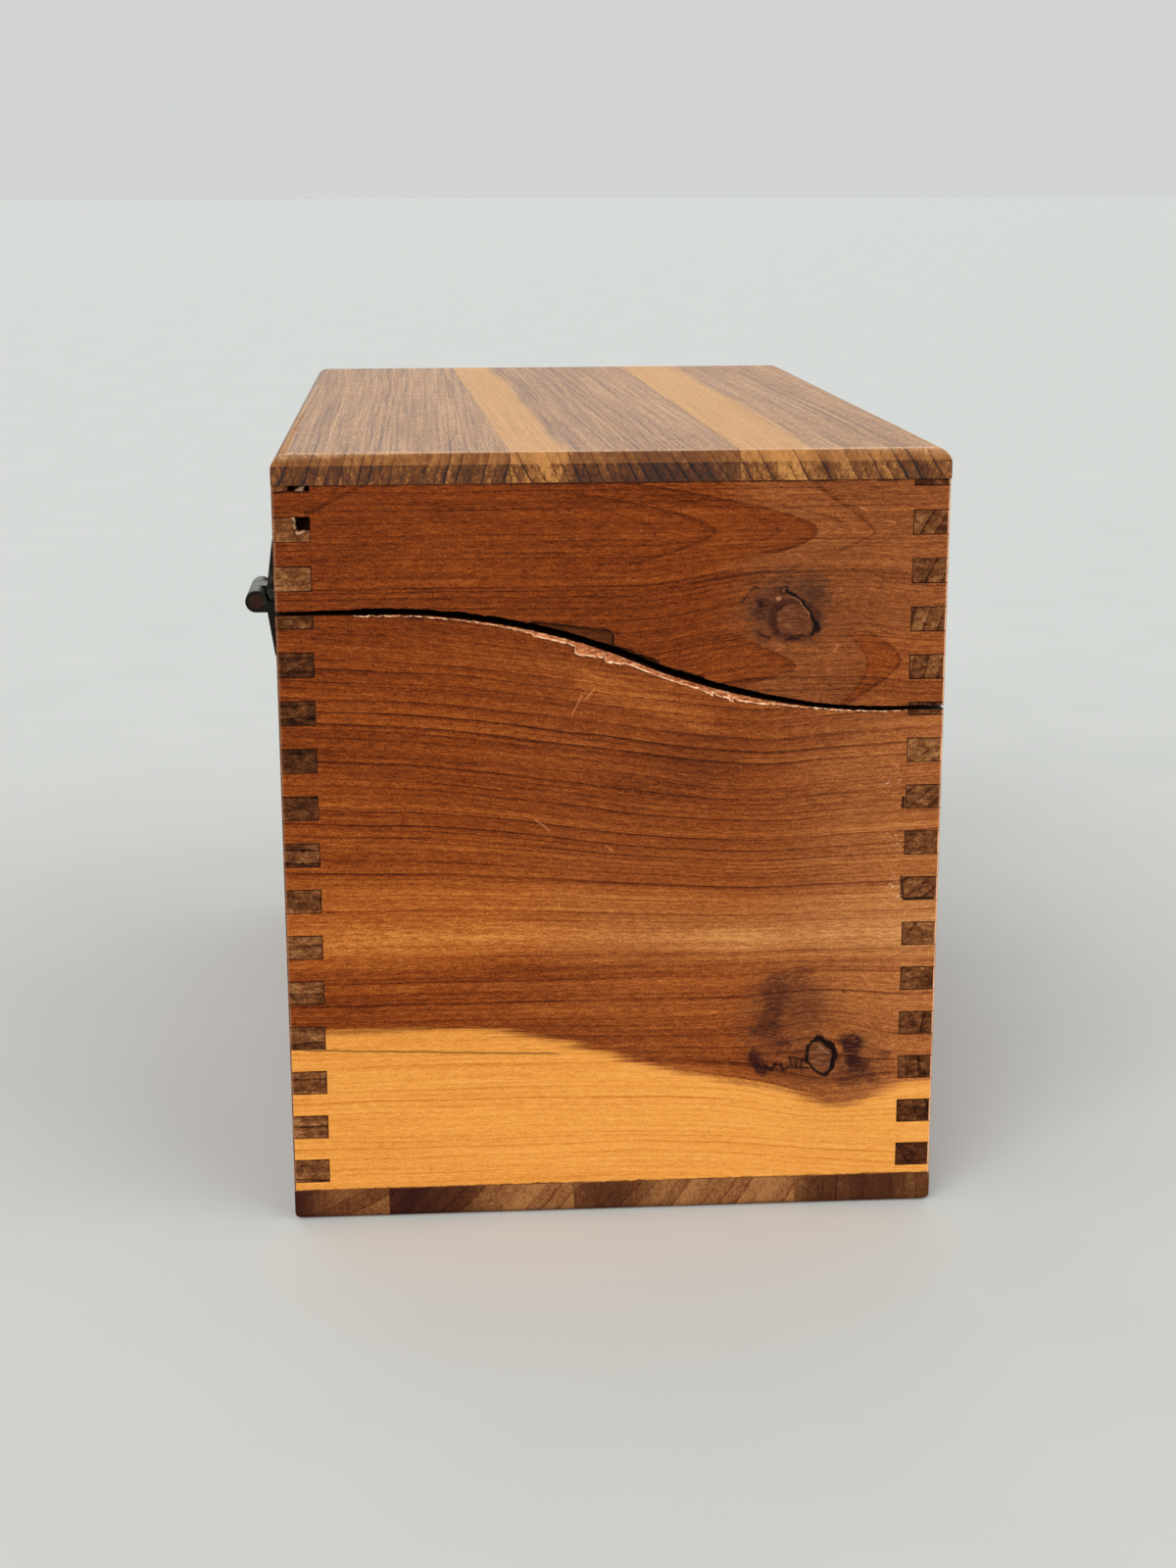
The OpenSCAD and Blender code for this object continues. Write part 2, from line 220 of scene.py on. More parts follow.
class Graph:
    """A material's nodes, with the object's own coordinates in millimetres. S runs from the back face."""

    def __init__(self, name):
        self.material = bpy.data.materials.new(name)
        self.material.use_nodes = True
        self.tree = self.material.node_tree
        self.tree.nodes.clear()
        coords = self.node("ShaderNodeTexCoord")
        scaled = self.node("ShaderNodeVectorMath", operation="SCALE")
        scaled.inputs["Scale"].default_value = 1 / MM
        self.tree.links.new(coords.outputs["Object"], scaled.inputs[0])
        self.x, self.y, self.z = self.split(scaled.outputs[0])
        self.s = BACK_Y - self.y
        self.nx, self.ny, self.nz = self.split(coords.outputs["Normal"])

    def node(self, kind, **settings):
        made = self.tree.nodes.new(kind)
        for key, value in settings.items():
            setattr(made, key, value)
        return made

    def feed(self, socket, value):
        """Links a value to a socket, or sets a plain number or colour on it."""
        if isinstance(value, Value):
            self.tree.links.new(value.socket, socket)
        else:
            socket.default_value = value

    def split(self, vector):
        parts = self.node("ShaderNodeSeparateXYZ")
        self.tree.links.new(vector, parts.inputs[0])
        return [Value(self, out) for out in parts.outputs]

    def math(self, operation, *values):
        made = self.node("ShaderNodeMath", operation=operation)
        for socket, value in zip(made.inputs, values):
            self.feed(socket, value)
        return Value(self, made.outputs[0])

    def smooth(self, low, high, value):
        """A smooth step from 0 at low to 1 at high. It falls where low is above high."""
        made = self.node("ShaderNodeMapRange", interpolation_type="SMOOTHSTEP")
        self.feed(made.inputs["Value"], value)
        self.feed(made.inputs["From Min"], low)
        self.feed(made.inputs["From Max"], high)
        return Value(self, made.outputs["Result"])

    def band(self, low, high, soft, value):
        """1 between low and high, fading over soft on both sides."""
        rise = self.smooth(low - soft, low + soft, value)
        return rise * self.smooth(high + soft, high - soft, value)

    def gauss(self, centre, spread, value):
        return self.math("EXPONENT", -(((value - centre) / spread) ** 2))

    def limit(self, value, low=0.0, high=1.0):
        return self.math("MINIMUM", self.math("MAXIMUM", value, low), high)

    def noise(self, x, y=0.0, z=0.0, detail=2.0, rough=0.5):
        """Noise around 0, about -0.5 to 0.5, with features of about one unit."""
        vector = self.node("ShaderNodeCombineXYZ")
        for socket, value in zip(vector.inputs, (x, y, z)):
            self.feed(socket, value)
        made = self.node("ShaderNodeTexNoise")
        made.inputs["Scale"].default_value = 1
        made.inputs["Detail"].default_value = detail
        made.inputs["Roughness"].default_value = rough
        self.tree.links.new(vector.outputs[0], made.inputs["Vector"])
        return Value(self, made.outputs["Fac"]) - 0.5

    def random(self, value):
        """A random number from 0 to 1 for each whole number."""
        made = self.node("ShaderNodeTexWhiteNoise", noise_dimensions="1D")
        self.feed(made.inputs["W"], value)
        return Value(self, made.outputs["Value"])

    def attribute(self, name):
        made = self.node("ShaderNodeAttribute", attribute_name=name)
        return Value(self, made.outputs["Fac"])

    def ramp(self, value, stops):
        made = self.node("ShaderNodeValToRGB")
        points = made.color_ramp.elements
        while len(points) < len(stops):
            points.new(1)
        for point, (place, colour) in zip(points, stops):
            point.position = place
            point.color = colour
        self.feed(made.inputs[0], value)
        return Value(self, made.outputs[0])

    def mix(self, share, first, second):
        """Colour that goes from first to second as share goes from 0 to 1."""
        made = self.node("ShaderNodeMix", data_type="RGBA")
        self.feed(made.inputs[0], share)
        self.feed(made.inputs[6], first)
        self.feed(made.inputs[7], second)
        return Value(self, made.outputs[2])

    def surface(self, colour, roughness, height, depth, metallic=0.0, specular=0.5):
        """Ends the graph in one shader. Height from 0 to 1 stands for depth, in millimetres."""
        bump = self.node("ShaderNodeBump")
        bump.inputs["Strength"].default_value = 1
        bump.inputs["Distance"].default_value = depth * MM
        self.feed(bump.inputs["Height"], height)
        shader = self.node("ShaderNodeBsdfPrincipled")
        self.feed(shader.inputs["Base Color"], colour)
        self.feed(shader.inputs["Roughness"], roughness)
        self.feed(shader.inputs["Metallic"], metallic)
        self.feed(shader.inputs["Specular IOR Level"], specular)
        self.tree.links.new(bump.outputs[0], shader.inputs["Normal"])
        out = self.node("ShaderNodeOutputMaterial")
        self.tree.links.new(shader.outputs[0], out.inputs["Surface"])
        return self.material


# Wood


def year_rings(g, distance, spacing, seed, along):
    """Dark late-wood lines, irregularly spaced over distance, and each ring's own random tone."""
    count = distance / spacing + 1.1 * g.noise(distance / (3 * spacing), seed * 7.7)
    whole = g.math("FLOOR", count)
    part = count - whole
    line = (g.smooth(0.72, 0.94, part) + 0.25 * g.smooth(0.2, 0.95, part)) * g.smooth(1.0, 0.95, part)
    fade = g.limit(0.75 + 1.6 * g.noise(along / 14 + seed, whole * 3.7))
    strength = (0.12 + 0.88 * g.random(whole + seed * 53) ** 1.5) * fade
    return line * strength, g.random(whole + seed * 31)


def fibres(g, along, across, through, seed):
    """Fine streaks, and short grainy dashes, that run with the grain."""
    streak = g.noise(along / 16 + seed, across / 0.5, through / 0.8, detail=3, rough=0.6)
    dash = g.noise(along / 1.0, across / 0.26 + seed, through / 0.4, detail=2, rough=0.6)
    grit = g.noise(along / 0.34, across / 0.2 + seed, through / 0.3, detail=1)
    return streak, dash + 0.8 * grit


def at_corner(g):
    """1 beside the upright corners of the walls."""
    return g.smooth(0.9, 0.6, FAR_X - abs(g.x)) * g.smooth(0.9, 0.6, BACK_Y - abs(g.y))


def joint_grime_and_shade(g):
    """1 in the fine grooves between fingers, along glue lines and next to the panels, on the outside: grime
    there, and painted shade of the grooves.
    """
    outside = g.smooth(0.4, 0.2, g.math("MINIMUM", FAR_X - abs(g.x), BACK_Y - abs(g.y)))
    level = g.smooth(0.1, 0.35, abs(g.nz) * g.math("MAXIMUM", abs(g.nx), abs(g.ny)))
    upright = g.smooth(0.1, 0.35, abs(g.nx * g.ny)) * (1 - at_corner(g))
    patchy = g.limit(0.85 + 1.5 * g.noise(g.x / 3, g.y / 3, g.z / 3, detail=2))
    to_panel = g.math("MINIMUM", g.z - WALL_LOW, WALL_HIGH - g.z)
    panel = g.smooth(0.3, 0.1, to_panel + 0.5 * g.noise(g.x / 1.2, g.y / 1.2, detail=2))
    return outside * patchy * g.math("MAXIMUM", g.math("MAXIMUM", level, upright), 0.8 * panel)


def sawn_grime_and_shade(g):
    """1 on the faces of the saw cut, darkened with age and with painted shade that makes the gap between
    lid and body black, most of all at the near end.
    """
    level = g.smooth(0.45, 0.6, abs(g.nz)) * g.band(CUT_FRONT - 0.5, CUT_BACK + 1.5, 0.2, g.z)
    share = 0.62 + 0.3 * g.smooth(NEAR_X + 6, NEAR_X + 4, g.x)
    return level * g.limit(share + 0.5 * g.noise(g.x / 4, g.y / 4, g.z / 4, detail=3))


def rubbed_and_lit_corners(g):
    """1 where the upright corners of the walls are rubbed pale, palest at the front, where a painted
    highlight stands for the light from that side.
    """
    turned_out = g.smooth(0.24, 0.44, abs(g.nx * g.ny))
    # Painted highlight: the front corners are made paler than the back ones
    front = 0.15 + 0.85 * g.smooth(10, -10, g.y)
    patchy = g.limit(0.8 + 1.4 * g.noise(g.x / 2, g.y / 2, g.z / 5, detail=3))
    return at_corner(g) * turned_out * front * patchy


def wall_marks(g):
    """Grime and painted shade in the joints and the saw cut, and rubbed corners with a painted highlight.
    """
    return [(joint_grime_and_shade(g), GRIME_AND_SHADE), (sawn_grime_and_shade(g), GRIME_AND_SHADE), (rubbed_and_lit_corners(g), RUBBED_AND_LIT)]


def near_skin(g):
    """1 on the outside of the near end, and 0 deeper in the wood."""
    return g.smooth(1.4, 1.0, g.x - NEAR_X)


def splinter_marks(g):
    """The holes of two broken fingers at the near end, filled with painted shade, and pale splinters beside
    them.
    """
    # Painted shade inside the holes
    hole_shade = g.band(2.1, 4.9, 0.1, g.s) * g.smooth(94.0, 94.3, g.z) * g.band(0.35, 4.6, 0.15, g.x - NEAR_X)
    stray = 0.5 * g.noise(g.s / 0.6, g.z / 0.6, detail=2)
    marks = [(0.85 * hole_shade, GRIME_AND_SHADE)]
    for start, end, width in SPLINTERS:
        pale = stroke(g, start, end, width, stray) * near_skin(g)
        marks.append((0.9 * pale, SPLINTER))
    return marks


def loose_finger_gap_shade(g):
    """Painted shade in the gap under a finger of the front board that is too small for its notch, at the
    near end.
    """
    stray = 0.3 * g.noise(g.s / 0.8, g.z / 0.8, detail=2)
    gap_shade = stroke(g, (82.6, 43.7), (86.4, 43.75), 0.34, stray) * near_skin(g)
    return [(0.9 * gap_shade, GRIME_AND_SHADE)]


def top_wear_and_light(g, outward, patchy):
    """Wear and painted light on the top: long edges, worn pale with a painted highlight at the front and
    darkened with painted shade at the back, and the end bevels' edges, worn pale with a painted highlight.
    """
    side = g.smooth(0.12, 0.4, outward * abs(g.ny))
    # Worn line along the end bevels' edges, painted pale as a highlight too
    arris_wear_and_highlight = g.gauss(TOP_BEVEL, 0.15, FAR_X - abs(g.x)) * g.smooth(0.5, 0.7, outward)
    # Painted highlight on the front long edge, painted shade on the back one
    return [(0.45 * patchy * side * g.smooth(5, -5, g.y), WORN_TOP_AND_HIGHLIGHT),
            (0.4 * side * g.smooth(-5, 5, g.y), GRIME_AND_SHADE),
            (0.85 * patchy * arris_wear_and_highlight, ARRIS_WEAR_AND_HIGHLIGHT)]


def panel_glue(g):
    """Grime in the glue lines of a panel."""
    glue = g.smooth(0.1, 0.3, abs(g.nx * g.ny)) * g.smooth(2.2, 2.8, BACK_Y - abs(g.y))
    return [(0.8 * glue, GRIME_AND_SHADE)]


def finish_wood(g, finish, tones, shares, marks, height):
    """Joins red and tan heartwood, sapwood, end grain, bare inside faces and marks into one surface."""
    heart, sap, end = [g.limit(tone) for tone in tones]
    tan_share, sap_share, end_share, inner = shares
    colour = g.mix(tan_share, g.ramp(heart, finish.heart), g.ramp(heart, finish.tan))
    colour = g.mix(sap_share, colour, g.ramp(sap, finish.sap))
    colour = g.mix(end_share, colour, g.ramp(end, finish.end))
    colour = g.mix(inner * 0.45, colour, RAW)
    for share, shade in marks:
        colour = g.mix(share, colour, shade)
    upright = g.smooth(0.95, 0.75, abs(g.nz))
    torn = upright * g.attribute("torn")
    splinter = g.noise(g.x / 0.6, g.y / 0.9, g.z / 0.3, detail=3, rough=0.6)
    # Painted highlight: the rim of the torn wood, where it turns, is made paler
    rim = g.band(0.225, 0.775, 0.175, torn)
    torn_colour_and_highlight = g.ramp(g.limit(0.36 + 2.2 * splinter + 0.45 * rim), TORN_WOOD_AND_HIGHLIGHT)
    colour = g.mix(g.smooth(0.0, 0.4, torn), colour, torn_colour_and_highlight)
    chipped = upright * g.attribute("chipped")
    colour = g.mix(chipped * g.limit(0.75 + 1.3 * splinter), colour, OLD_CHIP)
    colour = g.mix(0.1 * g.band(0.225, 0.775, 0.175, chipped), colour, GRIME_AND_SHADE)
    roughness = finish.roughness + 0.14 * g.noise(g.x / 3, g.y / 3, g.z / 3)
    roughness += 0.3 * end_share + 0.2 * inner
    return g.surface(colour, roughness, height, WOOD_RELIEF, specular=finish.specular)


def plain_cedar(name, grain, pith, lean, spacing, seed, sap_spans=(), tone=0.5, end_shift=0.0,
                end_slope=0.0, end_rings=0.3, end_stains=1.4, patches=(), more_marks=None, finish=OILED):
    """Cedar sawn from a log: rings about a pith line, grain along X or Y, sapwood between given places.

    Grain is "end", "side", "top" or "bottom" for an end wall, a side wall or a panel. What starts with end_
    is about the end grain. Patches change it about places across the board: centre, spread, change of tone
    and share of purple.
    """
    g = Graph(name)
    if grain == "end":
        along, across, through, outward = g.y, g.z, g.x, g.nx * g.math("SIGN", g.x)
    elif grain == "side":
        along, across, through, outward = g.x, g.z, g.y, g.ny * g.math("SIGN", g.y)
    else:
        along, across, through, outward = g.x, g.y, g.z, g.nz if grain == "top" else -g.nz
    wave = 5 * g.noise(along / 60 + seed * 3.1, across / 30, through / 30, detail=1)
    ripple = 0.9 * g.noise(along / 16 + seed * 5.3, across / 6, through / 6)
    level = across - lean * along
    high = level - pith[0] + wave + ripple
    deep = through - pith[1] + 0.5 * wave
    distance = g.math("SQRT", high * high + deep * deep)
    late, ring_tone = year_rings(g, distance, spacing, seed, along)
    streak, dash = fibres(g, finish.shortness * along, level, through, seed)
    grit = finish.streaks * streak + finish.dashes * dash
    slow = g.noise(along / 50 + seed * 2.3, across / 9, through / 9, detail=3)
    heart = tone + 0.28 * slow + 0.12 * (ring_tone - 0.5) - finish.rings * late + grit
    sap = 0.6 + 0.2 * slow - 0.7 * finish.rings * late + 0.8 * grit
    sap_share = 0.0
    drift = level + 3.2 * g.noise(along / 34 + seed * 9.1, across / 40, detail=2) + 1.4 * streak
    for low, high_edge, soft in sap_spans:
        sap_share = g.math("MAXIMUM", sap_share, g.band(low, high_edge, soft, drift))
    end_share = g.smooth(0.45, 0.7, abs(g.ny if grain == "end" else g.nx))
    end = 0.5 + end_shift + end_slope * (across - MID_HEIGHT) / MID_HEIGHT + 0.3 * slow - end_rings * late
    end += 0.25 * (ring_tone - 0.5) + 0.26 * sap_share
    end += 0.7 * g.noise(along / 2, across / 0.35, through / 0.35, detail=3)
    end += end_stains * g.noise(through / 1.2 + seed, across / 0.7, along / 3, detail=3, rough=0.6)
    inner = g.smooth(0.5, 0.9, -outward)
    marks = []
    for centre, spread, change, purple in patches:
        place = g.gauss(centre, spread, across + 1.5 * ripple)
        end += change * place
        marks.append((purple * place * end_share, PURPLE))
    if grain == "top":
        facet = g.smooth(0.3, 0.5, abs(g.nx)) * g.smooth(0.3, 0.5, outward)
        end += 0.6 * facet * (0.84 + 0.14 * sap_share - end)
        marks += top_wear_and_light(g, outward, g.limit(0.7 + 1.2 * dash + 0.8 * slow))
    if grain == "side":
        by_cut = g.band(CUT_FRONT - 0.9, CUT_FRONT + 1.1, 0.1, g.z) * g.smooth(0, -10, g.y)
        end -= 0.25 * (g.smooth(98.4, 98.9, g.z) + by_cut)
    marks += panel_glue(g) if grain in ("top", "bottom") else wall_marks(g)
    if more_marks:
        marks += more_marks(g)
    height = 0.5 + 0.5 * streak + 0.35 * dash - 0.8 * finish.rings * late * (1 - sap_share)
    tan_share = g.limit(0.3 + 1.6 * g.noise(along / 70 + seed * 4.7, across / 14, through / 14, detail=2))
    shares = (tan_share, sap_share, end_share, inner)
    return finish_wood(g, finish, (heart, sap, end), shares, marks, height)


def turned(g, centre, turn):
    """Coordinates about a centre, turned by an angle in degrees."""
    c, n = math.cos(math.radians(turn)), math.sin(math.radians(turn))
    ds, dz = g.s - centre[0], g.z - centre[1]
    return ds * c + dz * n, dz * c - ds * n


def reach(g, centre, radii, turn, fray, power=2.0):
    """0 in the middle of an ellipse and 1 on its frayed edge. A lower power makes it more of a diamond."""
    across, up = turned(g, centre, turn)
    total = abs(across / radii[0]) ** power + abs(up / radii[1]) ** power
    return total ** (1 / power) + fray


def blob(g, centre, radii, turn, fray):
    """A stain: 1 in the middle, 0 outside a frayed ellipse."""
    return g.smooth(1.05, 0.45, reach(g, centre, radii, turn, fray))


def stroke(g, start, end, width, stray=0.0):
    """A crack or scratch: 1 along a line between two places, fading over its width."""
    run_s, run_z = end[0] - start[0], end[1] - start[1]
    length = math.hypot(run_s, run_z)
    ds, dz = g.s - start[0], g.z - start[1]
    along = (ds * run_s + dz * run_z) / length
    across = (dz * run_s - ds * run_z) / length + stray
    beyond = g.math("MAXIMUM", g.math("MAXIMUM", -along, along - length), 0)
    return g.smooth(width, 0.4 * width, g.math("SQRT", across * across + beyond * beyond))


# Marks on the near end. A place is its distance from the back face and its height.
BODY_KNOT = (71.9, 21.7)
LID_KNOT = (67.15, 81.9)
SCRATCH_WIDTH = 0.15
FAR_FROM_SAP = 9.0

# Stains: share, place, two radii and turn
BODY_HAZE = ((0.4, 66.8, 27.5, 8, 8.5, 0), (0.35, 77, 20.5, 5, 5, 0), (0.2, 69, 19, 6, 3, 0))
BODY_SMEARS = (
    (0.22, 55.0, 63.5, 8, 5.5, -15), (0.6, 65.3, 30.2, 2.6, 3.0, 20), (0.65, 64.2, 25.8, 2.8, 2.0, -8),
    (0.5, 65.2, 27.9, 1.8, 3.0, 0), (0.6, 66.7, 23.7, 1.5, 1.0, -25), (0.5, 67.6, 33.2, 4.2, 1.3, 8),
    (0.35, 69.2, 29.6, 4.0, 3.0, 0), (0.75, 77.0, 20.0, 2.4, 1.8, 0), (0.5, 78.4, 18.5, 1.6, 1.1, -20),
    (0.5, 75.6, 17.8, 2.2, 1.0, 0), (0.45, 74.9, 19.4, 0.8, 1.7, 0), (0.6, 68.8, 20.7, 1.5, 0.9, 0),
    (0.8, 76.6, 20.6, 1.6, 2.0, 0), (0.5, 80.6, 21.6, 1.4, 0.9, 10))
BODY_DARK_SMEARS = (
    (1.0, 76.0, 23.7, 2.5, 1.6, -8), (1.0, 75.9, 22.2, 1.5, 2.4, 12), (0.95, 62.8, 21.5, 1.3, 1.8, 20),
    (0.95, 63.7, 20.0, 1.3, 1.5, 25))
LID_HAZE = (
    (0.55, 66.2, 83.2, 7.2, 6.2, 0), (0.45, 69.6, 85.4, 3.4, 2.8, -25), (0.3, 62.4, 83.4, 3.0, 3.0, 0))
LID_SMEARS = (
    (0.6, 63.2, 84.2, 1.4, 1.1, 0), (0.6, 62.6, 82.8, 1.0, 1.3, 0), (0.5, 64.5, 85.6, 1.1, 0.7, 30),
    (0.6, 66.8, 79.2, 1.4, 0.6, 5), (0.5, 63.3, 79.6, 1.4, 0.8, -20), (0.6, 65.2, 83.8, 1.1, 1.1, 0),
    (0.45, 64.6, 81.6, 1.2, 2.2, 0), (0.4, 70.0, 85.6, 1.6, 1.0, -20))

# Fine lines, each through several places
KNOT_HOOK = ((62.4, 22.0), (62.9, 20.7), (63.8, 19.7))
KNOT_ZIGZAG = ((64.1, 20.4), (65.1, 19.9), (65.5, 20.7), (66.3, 20.5), (66.7, 19.9), (67.5, 20.2))
KNOT_LADDER = ((67.9, 20.1), (67.5, 21.6), (69.9, 21.2), (69.2, 21.2), (69.1, 20.1), (70.1, 20.0),
               (68.4, 20.1), (68.5, 21.3))
LID_LINES = (
    ((61.4, 85.9), (62.0, 86.3), (62.5, 86.1)), ((60.2, 84.2), (60.5, 84.7), (61.0, 85.1)),
    ((62.2, 84.6), (62.8, 84.2), (62.6, 83.7), (63.4, 83.9)), ((62.3, 80.4), (63.1, 80.0), (63.9, 79.5)),
    ((66.1, 79.3), (66.8, 79.6), (67.6, 79.4), (68.4, 79.9)))
LID_CRACK = ((66.0, 85.8), (66.9, 85.3), (68.2, 84.3), (69.3, 82.6), (70.1, 81.2), (69.5, 80.0))

# Gaps beside fingers, painted as shade, and splinters: start, end and width
FINGER_GAP_SHADES = (((82.3, 44.0), (82.2, 46.8), 0.26), ((82.1, 56.4), (82.2, 57.7), 0.32))
SPLINTERS = (((2.7, 96.7), (3.1, 95.4), 0.34), ((3.1, 95.9), (2.9, 94.7), 0.22),
             ((3.1, 94.1), (4.6, 94.3), 0.24), ((3.1, 99.2), (4.2, 99.7), 0.4))

# Pale flecks: centre and radii
FLECKS = (((81.0, 51.8), (1.4, 2.0)), ((81.3, 45.2), (1.4, 2.2)), ((80.9, 60.2), (1.6, 1.2)),
          ((85.4, 10.4), (1.3, 1.0)))

# Scratches: start and end
BODY_SCRATCHES = (
    ((39.4, 72.4), (38.1, 69.8)), ((41.2, 73.4), (39.9, 71.9)), ((33.2, 55.8), (35.0, 54.3)),
    ((80.6, 62.6), (81.4, 61.9)), ((80.9, 47.6), (81.6, 46.2)), ((42.5, 52.0), (43.4, 51.2)))
LID_SCRATCHES = (((72.4, 77.6), (73.0, 78.5)), ((75.4, 96.6), (76.4, 96.0)), ((79.2, 94.6), (80.0, 94.4)))


def near_end_cedar(name, lid):
    """The end board that faces the photograph, with its own flow of grain, knots and sapwood."""
    g = Graph(name)
    s, z = g.s, g.z
    seed = 3.0 if lid else 1.0
    wave = 0.9 * g.noise(s / 26, z / 9, g.x / 9, detail=1) + 0.3 * g.noise(s / 9, z / 3, g.x / 4)
    fray = 1.3 * g.noise(s / 1.8, z / 1.3, g.x / 2, detail=5, rough=0.72)
    if lid:
        level, heart_tone, late, tan_share = lid_grain(g, wave, seed)
        sap_edge = FAR_FROM_SAP
        marks = lid_marks(g, fray)
    else:
        level, heart_tone, late, tan_share = body_grain(g, wave, seed)
        sap_edge = body_sap_edge(g, wave)
        marks = body_marks(g, fray)
    streak, dash = fibres(g, s, level, g.x, seed)
    slow = g.noise(s / 40 + seed, level / 5, g.x / 9, detail=3)
    sap_share = g.smooth(1.0, -0.8, sap_edge + 3.6 * streak)
    heart = heart_tone + 0.24 * slow - 0.36 * late + 0.34 * streak + 0.62 * dash
    sap = 0.52 + 0.05 * g.smooth(25, 70, s) + 0.2 * slow - 0.27 * late + 0.34 * streak + 0.5 * dash
    end_share = g.smooth(0.45, 0.8, abs(g.ny))
    end = 0.5 - 0.4 * late + 0.5 * g.noise(s / 2, z / 0.5, g.x / 0.5, detail=3)
    inner = g.smooth(0.5, 0.9, -(g.nx * g.math("SIGN", g.x)))
    marks += wall_marks(g)
    height = 0.5 + 0.5 * streak + 0.35 * dash - 0.35 * late * (1 - sap_share)
    shares = (tan_share, sap_share, end_share, inner)
    return finish_wood(g, OILED, (heart, sap, end), shares, marks, height)


def eye_tone(g):
    """Tone of the wood in the middle of a knot."""
    return g.limit(0.5 + 1.5 * g.noise(g.s / 1.6, g.z / 0.45, detail=3, rough=0.6))


def stains(g, fray, colour, places):
    """Mottled stains of one colour."""
    mottle = g.limit(0.8 + 2.4 * g.noise(g.s / 0.9, g.z / 0.28, detail=3, rough=0.6))
    return [(share * mottle * blob(g, (s_0, z_0), (wide, high), turn, fray), colour)
            for share, s_0, z_0, wide, high, turn in places]


def scribble(g, share, places, width, stray, colour):
    """A fine line that runs through several places."""
    pairs = zip(places, places[1:])
    return [(share * stroke(g, start, end, width, stray), colour) for start, end in pairs]


def scratches(g, stray, places):
    """Fine pale scratches, each from one place to another."""
    return [(0.4 * stroke(g, start, end, SCRATCH_WIDTH, stray), SCRATCH) for start, end in places]


def arch(g, s, z, tip, bend, slope, lower=1.0):
    """How far inside an arch of grain a place lies, in millimetres. The tip points to the front."""
    rise = z - tip[1]
    rise = g.math("MAXIMUM", rise, -lower * rise)
    root = g.math("SQRT", rise * rise + bend * bend)
    steep = rise / (root * slope)
    return (tip[0] - s - (root - bend) / slope) / g.math("SQRT", 1 + steep * steep)


def body_grain(g, wave, seed):
    """Grain of the body's near end, which sags to the front: level, tone, dark lines and share of tan."""
    s, z = g.s, g.z
    sweep = 0.35 * s + 20 * g.smooth(14, 62, s) - 0.7 * g.math("MAXIMUM", s - 62, 0) * g.smooth(58, 72, s)

    def left_height(level):
        sink = 3 * g.smooth(32, 18, level) * g.smooth(45, 90, s)
        return z + 0.16 * g.smooth(33, 62, level) * sweep + sink
    flow = left_height(z + 0.5 * (left_height(z) - z))
    ds, dz = s - BODY_KNOT[0], z - BODY_KNOT[1]
    near = g.math("EXPONENT", -(ds * ds / 60 + dz * dz / 45))
    flow = flow - 0.6 * dz * near + wave
    late, ring_tone = year_rings(g, flow, 1.7, seed, s)
    fine, fine_tone = year_rings(g, flow + 0.4 * wave, 0.8, seed + 4, s)
    light = g.band(36.0, 42.4, 3.0, flow) * (0.5 + 0.5 * g.gauss(20, 18, s) + 0.4 * g.gauss(60, 7, s))
    light += 0.45 * g.band(38, 47, 3.5, flow)
    tone = 0.5 + 0.235 * light + 0.1 * (ring_tone - 0.5) + 0.06 * (fine_tone - 0.5)
    tone += 0.12 * g.smooth(66, 84, s) - 0.04 * g.smooth(58, 76, z)
    tone -= 0.06 * g.gauss(63, 7, z) * g.gauss(53, 12, s)
    tone += 0.08 * g.gauss(48, 10, z) + 0.08 * g.gauss(31, 6, z) * g.smooth(30, 50, s)
    tone += 0.13 * stroke(g, (40, 74.2), (55, 68.8), 2.2, wave)
    tan = 0.2 * g.smooth(20, 45, s) + 0.5 * g.smooth(58, 76, s) + 0.4 * light * g.smooth(30, 50, s)
    dark = (late + 0.75 * fine) * (1 - 0.65 * g.limit(light))
    return flow, tone, dark, g.limit(tan)


def body_sap_edge(g, wave):
    """Height above the border of the golden sapwood."""
    edge = 26.7 - 8.8 * g.smooth(22, 66, g.s) - 3.6 * g.gauss(74.5, 7, g.s)
    return g.z - edge + 1.5 * wave * g.smooth(30, 60, g.s)


